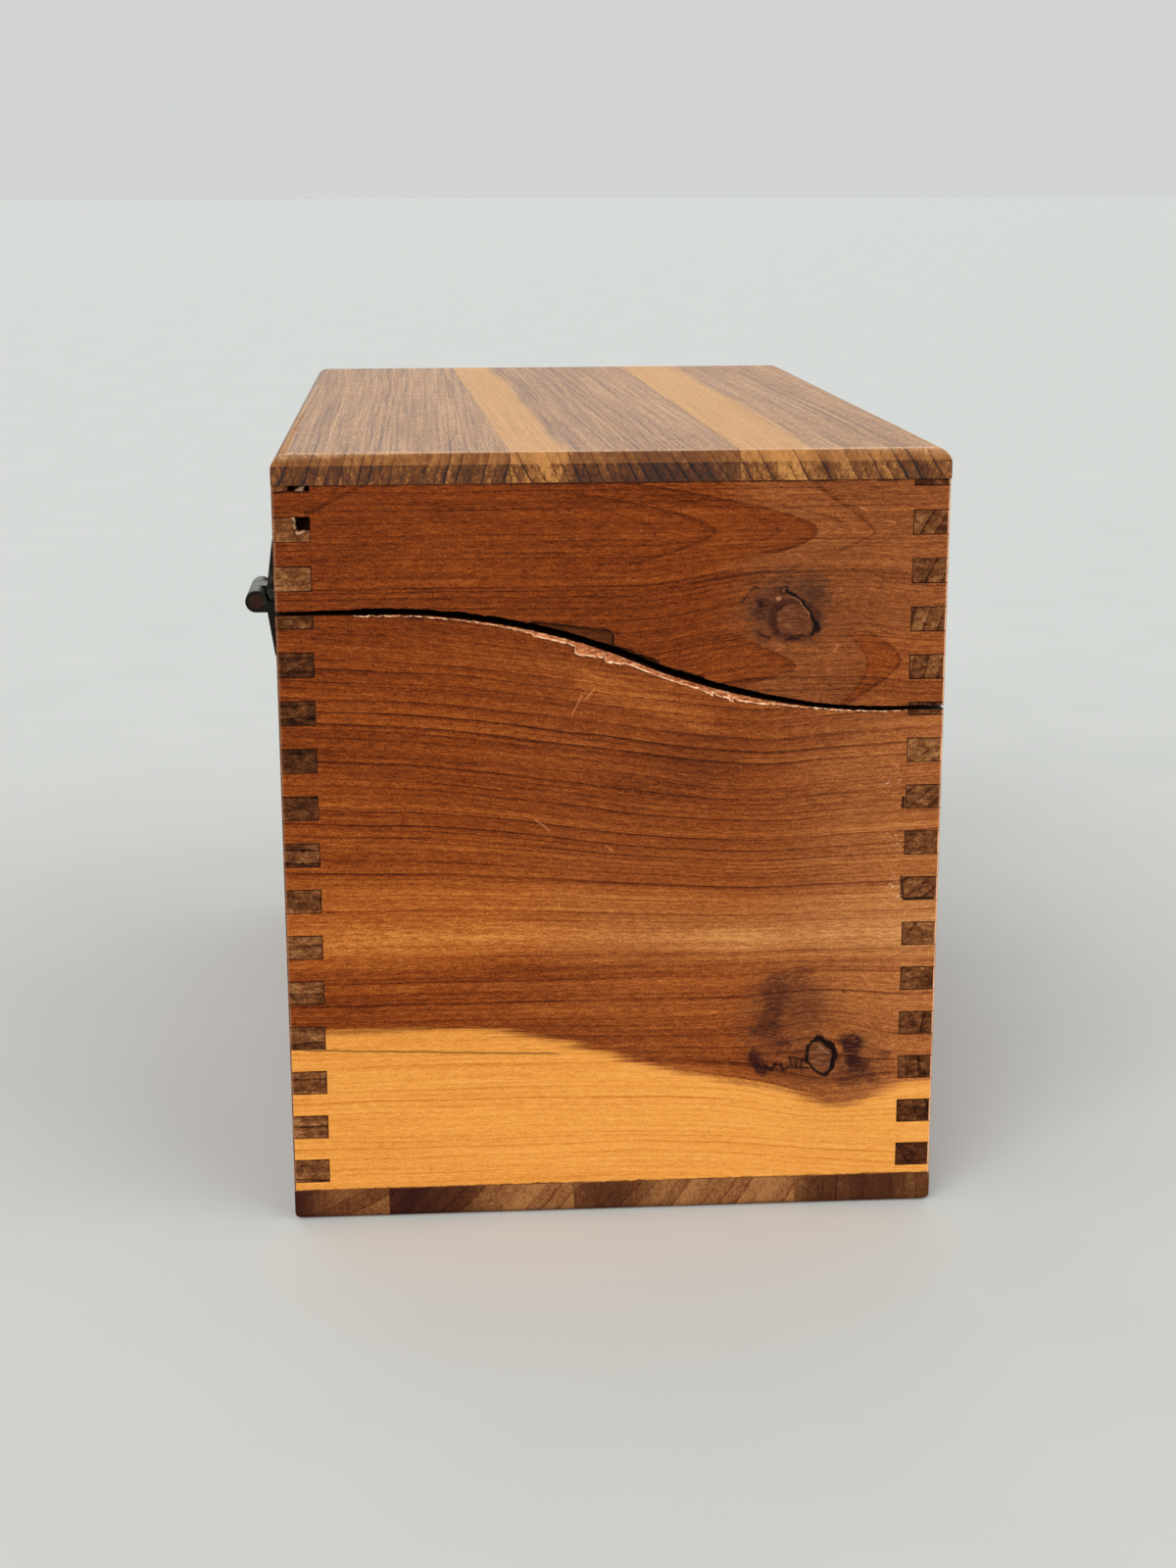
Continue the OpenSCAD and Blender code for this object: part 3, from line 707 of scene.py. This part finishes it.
def body_marks(g, fray):
    """The black knot and its smears, a hairline crack in the sapwood, painted shade in gaps beside fingers,
    and a few flecks and scratches.
    """
    s, z = g.s, g.z
    marks = stains(g, fray, HAZE, BODY_HAZE)
    marks += stains(g, fray, PURPLE, BODY_SMEARS)
    marks += stains(g, 0.5 * fray, PURPLE, BODY_DARK_SMEARS)
    stray = 0.5 * g.noise(s / 0.7, z / 0.7, detail=2)
    marks += scribble(g, 0.6, KNOT_HOOK, 0.7, stray, PURPLE)
    marks += scribble(g, 0.8, KNOT_ZIGZAG, 0.3, stray, KNOT_BARK)
    marks += scribble(g, 0.7, KNOT_LADDER, 0.24, stray, KNOT_BARK)
    uneven = 0.5 * g.noise(s / 1.4, z / 1.4, detail=3)
    ring = reach(g, BODY_KNOT, (2.3, 3.1), 12, uneven, power=1.5)
    marks.append((g.smooth(1.0, 0.8, ring), g.ramp(eye_tone(g), KNOT_EYE)))
    marks.append((0.5 * stroke(g, (71.5, 23.2), (72.8, 22.1), 0.16, uneven), KNOT_GLINT))
    thin = 0.82 - 0.2 * g.smooth(71.5, 73.0, s + 0.5 * (z - BODY_KNOT[1])) + 0.2 * uneven
    bark = g.smooth(thin - 0.07, thin + 0.07, ring) * g.smooth(1.08, 0.93, ring)
    marks.append((bark, KNOT_BARK))
    crack = z - 24.3 + 0.041 * (s - 5) + 0.25 * g.noise(s / 2.5, 3.3, detail=2)
    marks.append((0.7 * g.gauss(0, 0.13, crack) * g.band(1.5, 36, 1, s), KNOT_BARK))
    marks.append((0.6 * blob(g, (74.7, 30.9), (0.4, 0.35), 0, 0), KNOT_BARK))
    # Painted shade in the gaps beside fingers
    for start, end, width in FINGER_GAP_SHADES:
        marks.append((0.9 * stroke(g, start, end, width, 0.3 * fray), GRIME_AND_SHADE))
    speck = g.smooth(0.06, 0.16, g.noise(s / 0.4, z / 0.4, detail=3))
    for centre, radii in FLECKS:
        marks.append((0.75 * speck * blob(g, centre, radii, 20, fray), SPLINTER))
    return marks + scratches(g, 0.3 * fray, BODY_SCRATCHES)


def lid_grain(g, wave, seed):
    """Grain of the lid's near end, arches that point to the front. Returns what body_grain returns."""
    s, z = g.s, g.z
    over_knot = 2.2 * g.smooth(46, 64, s) - 0.8 * g.smooth(75, 85, s)
    level = z - over_knot * g.smooth(95, 88, z) + 0.4 * wave
    above = g.smooth(88.5, 90.5, z - 0.4 * over_knot)
    below = g.smooth(81, 78.5, z)
    rise = level - 93.4
    nested = g.math("SQRT", rise * rise + 36) + 0.114 * s
    arch_lines, arch_tone = year_rings(g, nested, 0.9, seed, s)
    level_lines, level_tone = year_rings(g, level, 1.5, seed + 2, s)
    fine, fine_tone = year_rings(g, level + 0.4 * wave, 0.8, seed + 4, s)
    low_left = g.smooth(90.5, 88, level) * g.smooth(64, 40, s)
    late = 0.45 * arch_lines * above * g.smooth(20, 50, s) + 0.7 * fine
    calm = 1 - 0.5 * below * g.smooth(50, 60, s)
    late += level_lines * (1 - above) * calm * (0.4 + 0.4 * low_left)
    late += 0.6 * g.gauss(86.0, 0.14, level) * g.smooth(46, 56, s)
    late += 0.35 * stroke(g, (4.4, 96.4), (11.8, 100.2), 0.4, 0.3 * wave)
    fade = g.limit(0.85 + 1.6 * g.noise(s / 6, z / 3, detail=2))
    low_right = below * g.smooth(72, 80, s)
    tone = 0.44 + 0.08 * g.smooth(68, 86, s) + 0.04 * low_right + 0.06 * (fine_tone - 0.5)
    tone += 0.05 * (arch_tone - 0.5) * above + 0.05 * (level_tone - 0.5) * (1 - above)
    across, up = s + 1.2 * wave, z + 0.4 * wave
    inner = arch(g, across, up, (69.8, 93.5), 6, 0.114)
    outer = arch(g, across, up, (77.6, 93.2), 0.6, 0.75, lower=1.8)
    loop_1 = arch(g, across, up, (67.2, 75.6), 1.2, 0.42, lower=1.7)
    loop_2 = arch(g, across, up, (76.8, 75.8), 3, 0.9)
    loop_3 = arch(g, across, up, (81.0, 76.3), 2, 0.6)
    lines = ((inner, above, 0.5, 0.16), (outer, above, 0.4, 0.25), (loop_1, below, 0.4, 0.16),
             (loop_2, below, 0.3, 0.2), (loop_3, below, 0.45, 0.2))
    for inside, zone, strength, width in lines:
        late += strength * fade * zone * g.gauss(0, width, inside)
        shade = g.smooth(-0.2, 0.1, inside) * g.math("EXPONENT", -abs(inside) / 1.3)
        tone -= 0.2 * strength * zone * shade
    between = above * g.smooth(0.4, -0.4, inner)
    glow = 0.1 * g.gauss(65, 6, s) * g.smooth(96, 99, z)
    tone += between * (0.06 * g.smooth(-0.5, 0.5, outer) + glow)
    red_ring = g.smooth(-0.3, 0.3, loop_3) * g.smooth(0.5, -0.5, loop_2)
    red_below = g.math("MAXIMUM", g.smooth(-0.3, 0.3, loop_1), red_ring)
    red = g.math("MAXIMUM", above * g.smooth(-0.4, 0.4, inner), 0.9 * below * red_below)
    tan = g.smooth(54, 66, s) * (0.75 - 0.65 * red) * (1 - 0.45 * low_right)
    return level, tone, late, tan


def lid_marks(g, fray):
    """The lid's tan knot with its stains and the crack beside it, and a few scratches."""
    marks = stains(g, fray, HAZE, LID_HAZE)
    marks += stains(g, fray, PURPLE, LID_SMEARS)
    eye = reach(g, LID_KNOT, (2.55, 2.05), -8, 0.35 * fray, power=2.4)
    marks.append((0.55 * g.band(1.0, 1.35, 0.15, eye), PURPLE))
    marks.append((0.9 * g.smooth(1.05, 0.8, eye), g.ramp(eye_tone(g) - 0.05, KNOT_EYE)))
    marks.append((0.7 * g.limit(0.6 + 2 * fray) * g.band(0.93, 1.08, 0.08, eye), KNOT_BARK))
    stray = 0.7 * g.noise(g.s / 1.1, g.z / 1.1, detail=3)
    for places in LID_LINES:
        marks += scribble(g, 0.55, places, 0.24, stray, KNOT_BARK)
    marks += scribble(g, 0.35, LID_CRACK[1:4], 0.24, stray + 0.16, RAW)
    marks += scribble(g, 0.95, LID_CRACK, 0.28, stray, KNOT_BARK)
    loop = reach(g, (65.8, 85.8), (0.6, 0.5), 30, 1.1 * stray)
    marks.append((0.75 * g.band(0.65, 1.1, 0.15, loop), KNOT_BARK))
    marks.append((0.9 * blob(g, (70.1, 81.0), (0.6, 1.1), 12, 0.6 * fray), KNOT_BARK))
    marks.append((0.6 * blob(g, (65.0, 84.7), (0.45, 0.35), 30, 1.4 * fray), RAW))
    return marks + scratches(g, 0.3 * fray, LID_SCRATCHES)


# Metal


def old_metal(name, dark, sheen, rust):
    """Blackened metal with a paler bloom, rubbed in patches and a painted sheen on faces that look up, and
    specks of rust.
    """
    g = Graph(name)
    cloud = g.noise(g.x / 2.2, g.y / 2.2, g.z / 2.2, detail=4, rough=0.65)
    speck = g.noise(g.x / 0.5, g.y / 0.5, g.z / 0.5, detail=3, rough=0.7)
    # Painted sheen: faces that look up take more of the pale bloom
    rubbed_and_sheen = g.smooth(0.02, 0.28, cloud + 0.25 * g.nz)
    colour = g.mix(0.55 * rubbed_and_sheen, dark, sheen)
    colour = g.mix(0.7 * g.smooth(0.1, 0.25, speck - 0.5 * cloud), colour, rust)
    roughness = 0.5 - 0.14 * rubbed_and_sheen + 0.5 * speck
    height = 0.5 + 0.6 * speck + 0.4 * cloud
    return g.surface(colour, roughness, height, METAL_RELIEF, metallic=0.75)


# Meshes


def solid(node):
    """A node's solid as an editable mesh, in millimetres, with its flat faces whole."""
    mesh = bmesh.new()
    mesh.from_mesh(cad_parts[node].data)
    bmesh.ops.scale(mesh, vec=Vector((1, 1, 1)) / MM, verts=mesh.verts)
    bmesh.ops.remove_doubles(mesh, verts=mesh.verts, dist=TOUCH)
    bmesh.ops.dissolve_limit(mesh, angle_limit=math.radians(0.6), verts=mesh.verts, edges=mesh.edges)
    return mesh


def placed(name, data):
    """A new object in the scene."""
    made = bpy.data.objects.new(name, data)
    bpy.context.scene.collection.objects.link(made)
    return made


def modified(mesh, kind, **settings):
    """The mesh after one modifier. The mesh given is freed."""
    data = bpy.data.meshes.new("work")
    mesh.to_mesh(data)
    mesh.free()
    holder = placed("work", data)
    modifier = holder.modifiers.new("work", kind)
    for key, value in settings.items():
        setattr(modifier, key, value)
    shaped = holder.evaluated_get(bpy.context.evaluated_depsgraph_get())
    result = bmesh.new()
    result.from_mesh(shaped.to_mesh())
    bpy.data.objects.remove(holder)
    bpy.data.meshes.remove(data)
    return result


def on_corner(edge):
    """True for the upright edges where two walls meet outside."""
    middle = (edge.verts[0].co + edge.verts[1].co) / 2
    at_end = min(abs(middle.x - NEAR_X), abs(middle.x - FAR_X)) < TOUCH
    return at_end and min(abs(middle.y - BACK_Y), abs(middle.y - FRONT_Y)) < TOUCH


def on_cut(edge):
    """True for edges along the saw cut."""
    middle = (edge.verts[0].co + edge.verts[1].co) / 2
    line = cut_height(BACK_Y - middle.y)
    level = abs(edge.verts[0].co.x - edge.verts[1].co.x) < TOUCH
    return level and -0.1 < middle.z - line < SEAM + 0.1


def wall_wear(edge):
    """Width by which an edge of a wall is worn."""
    if on_corner(edge):
        return CORNER_WEAR
    return CUT_WEAR if on_cut(edge) else FINGER_WEAR


def evenly(width):
    """The same wear for every edge."""
    return lambda edge: width


def wear_edges(mesh, width_of, segments):
    """Bevels sharp edges, each by its own width. Edges of small holes stay as they are."""
    weight = mesh.edges.layers.float.new("bevel_weight_edge")
    for edge in mesh.edges:
        sharp = len(edge.link_faces) == 2 and edge.calc_face_angle() > SHARP
        if sharp and edge.calc_length() > SHORT:
            edge[weight] = width_of(edge) / CORNER_WEAR
    return modified(mesh, "BEVEL", limit_method="WEIGHT", width=CORNER_WEAR, segments=segments)


def slice_near_face(mesh, places, origin, normal, facing=-0.3):
    """Cuts the faces that look out of the near end along parallel planes.

    Facing is the X of a normal below which a face counts. The dicts keep the same order in each run.
    """
    for place in places:
        faces = [face for face in mesh.faces if face.normal.x < facing]
        edges = dict.fromkeys(edge for face in faces for edge in face.edges)
        verts = dict.fromkeys(vert for face in faces for vert in face.verts)
        bmesh.ops.bisect_plane(mesh, geom=[*faces, *edges, *verts], dist=1e-5,
                               plane_co=origin + normal * place, plane_no=normal)


def ease(low, high, value):
    """Smooth step from 0 at low to 1 at high."""
    t = min(max((value - low) / (high - low), 0), 1)
    return t * t * (3 - 2 * t)


def rough(s, h, size, seed):
    """Perlin noise from about -1 to 1 over places on the near end."""
    return noise.noise(Vector((s / size, h / size, seed)))


def teeth(s, steps):
    """Height of a torn edge at s. Each step has a start, an end, and its heights at both."""
    height = 0.0
    for start, end, first, last in steps:
        share = ease(start - 0.15, start + 0.15, s) * (1 - ease(end - 0.15, end + 0.15, s))
        height = max(height, share * (first + (last - first) * (s - start) / (end - start)))
    return height


def body_tear(s, h):
    """How far the sawn edge of the body has splintered at h below it: share and depth."""
    rim = (0.2 * ease(9, 11, s) + 0.3 * ease(22, 36, s)) * (1 - 0.6 * ease(60, 72, s))
    rim *= 1 - ease(80, 85, s)
    height = rim * (0.85 + 0.5 * rough(s, 0, 1.3, 1) + 0.5 * rough(s, 0, 0.5, 2))
    height = max(height, teeth(s, BODY_TEETH) + 0.12 * rough(s, 0, 0.6, 3))
    if height < 0.12:
        return 0.0, 0.0
    share = ease(-0.12, 0.16, height - h)
    depth = 0.2 + 0.55 * min(height / 2, 1) * (1 - min(h / height, 1)) + 0.18 * rough(s, h * 2, 0.6, 5)
    return share, share * max(depth, 0)


def lid_tear(s, h):
    """Old chips along the lid's lower edge: share and depth."""
    height = teeth(s, LID_TEETH) + 0.15 * rough(s, 0, 0.9, 6)
    if height < 0.12:
        return 0.0, 0.0
    share = ease(-0.15, 0.15, height - h)
    return share, share * (0.4 + 0.15 * rough(s, h, 0.8, 7))


def lid_lift(s, h):
    """How far the lid's sawn edge has worn upwards, at h above it."""
    opening = 0.35 * ease(4, 6, s) + 0.65 * ease(9.6, 11.2, s)
    gape = (0.3 + 0.15 * rough(s, 0, 2.5, 10)) * opening * (1 - ease(60, 74, s))
    return gape * (1 - ease(0, 1.5, h)) + 0.1 * rough(s, 0, 0.8, 8) * (1 - ease(0, 0.6, h))


def tear_near_end(mesh, lid):
    """Splinters the near end along the saw cut, and notes where in a point layer."""
    columns = [COLUMN * n for n in range(1, int(WIDTH / COLUMN))]
    slice_near_face(mesh, columns, Vector((0, FRONT_Y, 0)), Vector((0, 1, 0)))
    turn = 1 if lid else -1
    edge = SEAM if lid else 0
    for vert in mesh.verts:
        vert.co.z -= cut_height(BACK_Y - vert.co.y)
    rows = [edge + turn * row for row in ROWS]
    slice_near_face(mesh, rows, Vector((0, 0, 0)), Vector((0, 0, 1)))
    torn = mesh.verts.layers.float.new("chipped" if lid else "torn")
    for vert in mesh.verts:
        s = BACK_Y - vert.co.y
        h = turn * (vert.co.z - edge)
        if vert.co.x < NEAR_X + SKIN and -0.2 < h < ROWS[-1]:
            share, depth = lid_tear(s, max(h, 0)) if lid else body_tear(s, max(h, 0))
            vert[torn] = share
            vert.co.x += depth
            if lid:
                vert.co.z += lid_lift(s, h)
            else:
                vert.co.z -= share * (0.1 + 0.12 * rough(s, 0, 0.7, 9)) * (1 - ease(0, 0.6, h))
        vert.co.z += cut_height(s)


def broken_off(s, z):
    """How much two fingers of the lid's back board have lost at the near end, in millimetres."""
    ragged = 0.25 * rough(s, z, 0.6, 11)
    if z > BETWEEN_BREAKS:
        stump = ease(2.7, 3.1, s + ragged) * (1 - ease(4.1, 4.5, s + ragged))
        return ease(1.8, 2.2, s + ragged) * (2.6 - 1.7 * stump + ragged)
    return ease(2.8, 3.2, s + ragged) * ease(94.0, 94.4, z + ragged) * (2.9 + ragged)


def break_fingers(mesh):
    """Moves the inner ends of two fingers of the lid's back board inwards, as if broken off."""
    columns = [-BREAK_CUT * n for n in BREAK_COLUMNS]
    rows = [BREAK_LOW + BREAK_CUT * n for n in BREAK_ROWS]
    slice_near_face(mesh, columns, Vector((0, BACK_Y, 0)), Vector((0, 1, 0)), facing=-0.1)
    slice_near_face(mesh, rows, Vector((0, 0, 0)), Vector((0, 0, 1)), facing=-0.1)
    for vert in mesh.verts:
        if vert.co.x < NEAR_X + SKIN:
            vert.co.x += broken_off(BACK_Y - vert.co.y, vert.co.z)


def piece(node, suffix, body, mesh, material):
    """Makes the finished object that stands for a node."""
    bmesh.ops.scale(mesh, vec=Vector((MM, MM, MM)), verts=mesh.verts)
    data = bpy.data.meshes.new(node + suffix)
    mesh.to_mesh(data)
    mesh.free()
    data.shade_smooth()
    data.set_sharp_from_angle(angle=SHARP)
    data.materials.append(material)
    made = placed(node + suffix, data)
    flat = made.modifiers.new("flat_faces", "WEIGHTED_NORMAL")
    flat.keep_sharp = True
    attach(made, body)
    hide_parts(node)


def dress_walls():
    looks = {
        "body_left_end": near_end_cedar("cedar_body_near", lid=False),
        "lid_left_end": near_end_cedar("cedar_lid_near", lid=True),
        "body_right_end": plain_cedar(
            "cedar_body_far", "end", pith=(-18, 90), lean=0.05, spacing=1.9, seed=5,
            sap_spans=[(0, 12, 2)]),
        "lid_right_end": plain_cedar(
            "cedar_lid_far", "end", pith=(104, 90), lean=-0.04, spacing=2.1, seed=6),
        "body_front": plain_cedar(
            "cedar_body_front", "side", pith=(24, -66), lean=0.02, spacing=1.9, seed=7, end_shift=0.12,
            end_slope=0.25, end_rings=0.45, more_marks=loose_finger_gap_shade,
            patches=[(39, 7, 0.12, 0), (52, 4, -0.12, 0), (7, 5, -0.1, 0.2)]),
        "lid_front": plain_cedar(
            "cedar_lid_front", "side", pith=(60, -105), lean=0.03, spacing=1.9, seed=8, end_shift=0.12,
            end_rings=0.45, patches=[(95, 3, -0.12, 0)]),
        "body_back": plain_cedar(
            "cedar_body_back", "side", pith=(-40, 42), lean=-0.03, spacing=1.7, seed=9, end_shift=-0.05,
            end_slope=-0.26, end_rings=0.45, patches=[(39, 8, 0.2, 0), (21, 6, -0.1, 0), (83, 3, 0.3, 0)]),
        "lid_back": plain_cedar(
            "cedar_lid_back", "side", pith=(-40, 42), lean=0.02, spacing=2.0, seed=10, end_shift=0.18,
            more_marks=splinter_marks),
    }
    for node, look in looks.items():
        body = "lid" if node.startswith("lid") else "box"
        mesh = wear_edges(solid(node), wall_wear, segments=3)
        if node.endswith("left_end"):
            tear_near_end(mesh, lid=body == "lid")
        if node == "lid_back":
            break_fingers(mesh)
        piece(node, "_wood", body, mesh, look)


def dress_top():
    sap_widths = {2: (7.2, 0.8), 3: (9.8, 1.6)}
    patches = {1: [], 2: [(-8, 8, -0.22, 0.12)], 3: [(-30, 9, 0.1, 0)]}
    for n in (1, 2, 3):
        node = "top_stave_%d" % n
        low, high = corners(node)
        pith, slant, spans = (high.y + 60, 125), 0.0, []
        if n > 1:
            # The glue line behind this stave runs at a slant between high and line_end
            line_end = corners("top_stave_%d" % (n - 1))[0].y
            pith = (low.y - 40, 130)
            slant = (high.y - line_end) / LENGTH
            middle = (high.y + line_end) / 2
            width, soft = sap_widths[n]
            spans = [(middle - width, middle + 10, soft)]
        look = plain_cedar("cedar_" + node, "top", pith, slant, spacing=1.4, seed=20 + n, sap_spans=spans,
                           end_shift=0.06, end_rings=0.9, end_stains=1.0, patches=patches[n], finish=FADED)
        mesh = wear_edges(solid(node), evenly(GLUE_WEAR), segments=2)
        piece(node, "_wood", "lid", mesh, look)


def dress_bottom():
    looks = {
        1: ((BACK_Y + 20, 60), 0.12, [(BACK_Y, 3.4, -0.15, 0.85)]),
        2: ((BACK_Y + 20, 45), 0.2, [(28, 6, -0.3, 0.8), (22, 4, -0.1, 0.4), (9, 6, 0.2, 0)]),
        3: ((BACK_Y + 10, 45), 0.34, [(1, 6.5, -0.25, 0.5), (-15, 8, 0.05, 0)]),
        4: ((BACK_Y, 2), 0.25, [(-36, 7, -0.2, 0.65), (-28, 4, -0.1, 0.5)]),
    }
    for n, (pith, end_shift, patches) in looks.items():
        node = "bottom_stave_%d" % n
        look = plain_cedar("cedar_" + node, "bottom", pith, lean=0.03, spacing=1.8, seed=30 + n, tone=0.42,
                           end_shift=end_shift, end_stains=0.5, patches=patches)
        mesh = wear_edges(solid(node), evenly(GLUE_WEAR), segments=2)
        piece(node, "_wood", "box", mesh, look)


def dress_metal():
    hinge = old_metal("black_hinge", srgb(24, 21, 18), srgb(92, 94, 80), srgb(64, 32, 20))
    pin = old_metal("brown_pin", srgb(58, 30, 22), srgb(104, 70, 52), srgb(84, 38, 22))
    nail = old_metal("dull_nail", srgb(62, 54, 40), srgb(124, 108, 78), srgb(70, 44, 28))
    pieces = []
    for side in ("left", "right"):
        pieces += [(side + "_body_leaf", "box", "hinge_metal", hinge),
                   (side + "_lid_leaf", "lid", "hinge_metal", hinge),
                   (side + "_hinge_pin", "box", "pin_metal", pin)]
    pieces += [("body_nails", "box", "nail_metal", nail), ("lid_nails", "lid", "nail_metal", nail)]
    for node, body, slot, look in pieces:
        mesh = wear_edges(solid(node), evenly(METAL_WEAR), segments=2)
        piece(node, "_metal", body, mesh, look)


# Stage: a wide floor in metres, and a lit room
FLOOR_RADIUS = 40
FLOOR_COLOURS = (srgb(204, 206, 203), srgb(212, 213, 210))
ROOM_COLOUR = srgb(222, 225, 223)
ROOM_STRENGTH = 0.88

# Soft suns: where the light comes from, its strength and its spread in degrees
SUNS = {
    "key": ((-0.75, 0.45, 0.6), 1.3, 40),
    "fill": ((-0.5, -0.8, 0.5), 0.7, 60),
    "back": ((0.7, 0.1, 0.5), 0.3, 60),
}

# The photograph's viewpoint in the frame of the box: place in metres, yaw, pitch and roll in degrees, lens
CAMERA_PLACE = Vector((-0.38387, 0.02443, 0.13638))
CAMERA_ANGLES = (-3.893, -13.83, -0.184)
CAMERA_LENS = 55.45
SENSOR_HEIGHT = 36


def lay_floor():
    floor_mesh = bmesh.new()
    bmesh.ops.create_circle(floor_mesh, cap_ends=True, segments=96, radius=FLOOR_RADIUS)
    data = bpy.data.meshes.new("floor")
    floor_mesh.to_mesh(data)
    floor_mesh.free()
    floor_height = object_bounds()[0].z
    floor = placed("floor", data)
    floor.location.z = floor_height
    g = Graph("pale_floor")
    grain = g.noise(g.x / 40, g.y / 40, detail=3)
    colour = g.mix(0.5 + grain, *FLOOR_COLOURS)
    data.materials.append(g.surface(colour, 0.8, grain, FLOOR_RELIEF))


def light_room():
    world = bpy.data.worlds.new("pale_room")
    bpy.context.scene.world = world
    world.use_nodes = True
    back = world.node_tree.nodes["Background"]
    back.inputs["Color"].default_value = ROOM_COLOUR
    back.inputs["Strength"].default_value = ROOM_STRENGTH
    for name, (source, strength, spread) in SUNS.items():
        light = bpy.data.lights.new(name, "SUN")
        light.energy = strength
        light.angle = math.radians(spread)
        holder = placed(name, light)
        holder.rotation_euler = (-Vector(source)).to_track_quat("-Z", "Y").to_euler()


def aim_camera():
    yaw, pitch, roll = [math.radians(angle) for angle in CAMERA_ANGLES]
    ahead = Vector((math.cos(pitch) * math.cos(yaw), math.cos(pitch) * math.sin(yaw), math.sin(pitch)))
    level = ahead.cross(Vector((0, 0, 1))).normalized()
    plumb = level.cross(ahead)
    right = level * math.cos(roll) + plumb * math.sin(roll)
    up = plumb * math.cos(roll) - level * math.sin(roll)
    data = bpy.data.cameras.new("view")
    data.sensor_fit = "VERTICAL"
    data.sensor_height = SENSOR_HEIGHT
    data.lens = CAMERA_LENS
    data.clip_start = 0.01
    camera = placed("view", data)
    turn = Matrix((right, up, -ahead)).transposed().to_4x4()
    camera.matrix_world = Matrix.Translation(CAMERA_PLACE) @ turn
    bpy.context.scene.camera = camera
    bpy.context.scene.view_settings.view_transform = "Standard"


dress_walls()
dress_top()
dress_bottom()
dress_metal()
lay_floor()
light_room()
aim_camera()
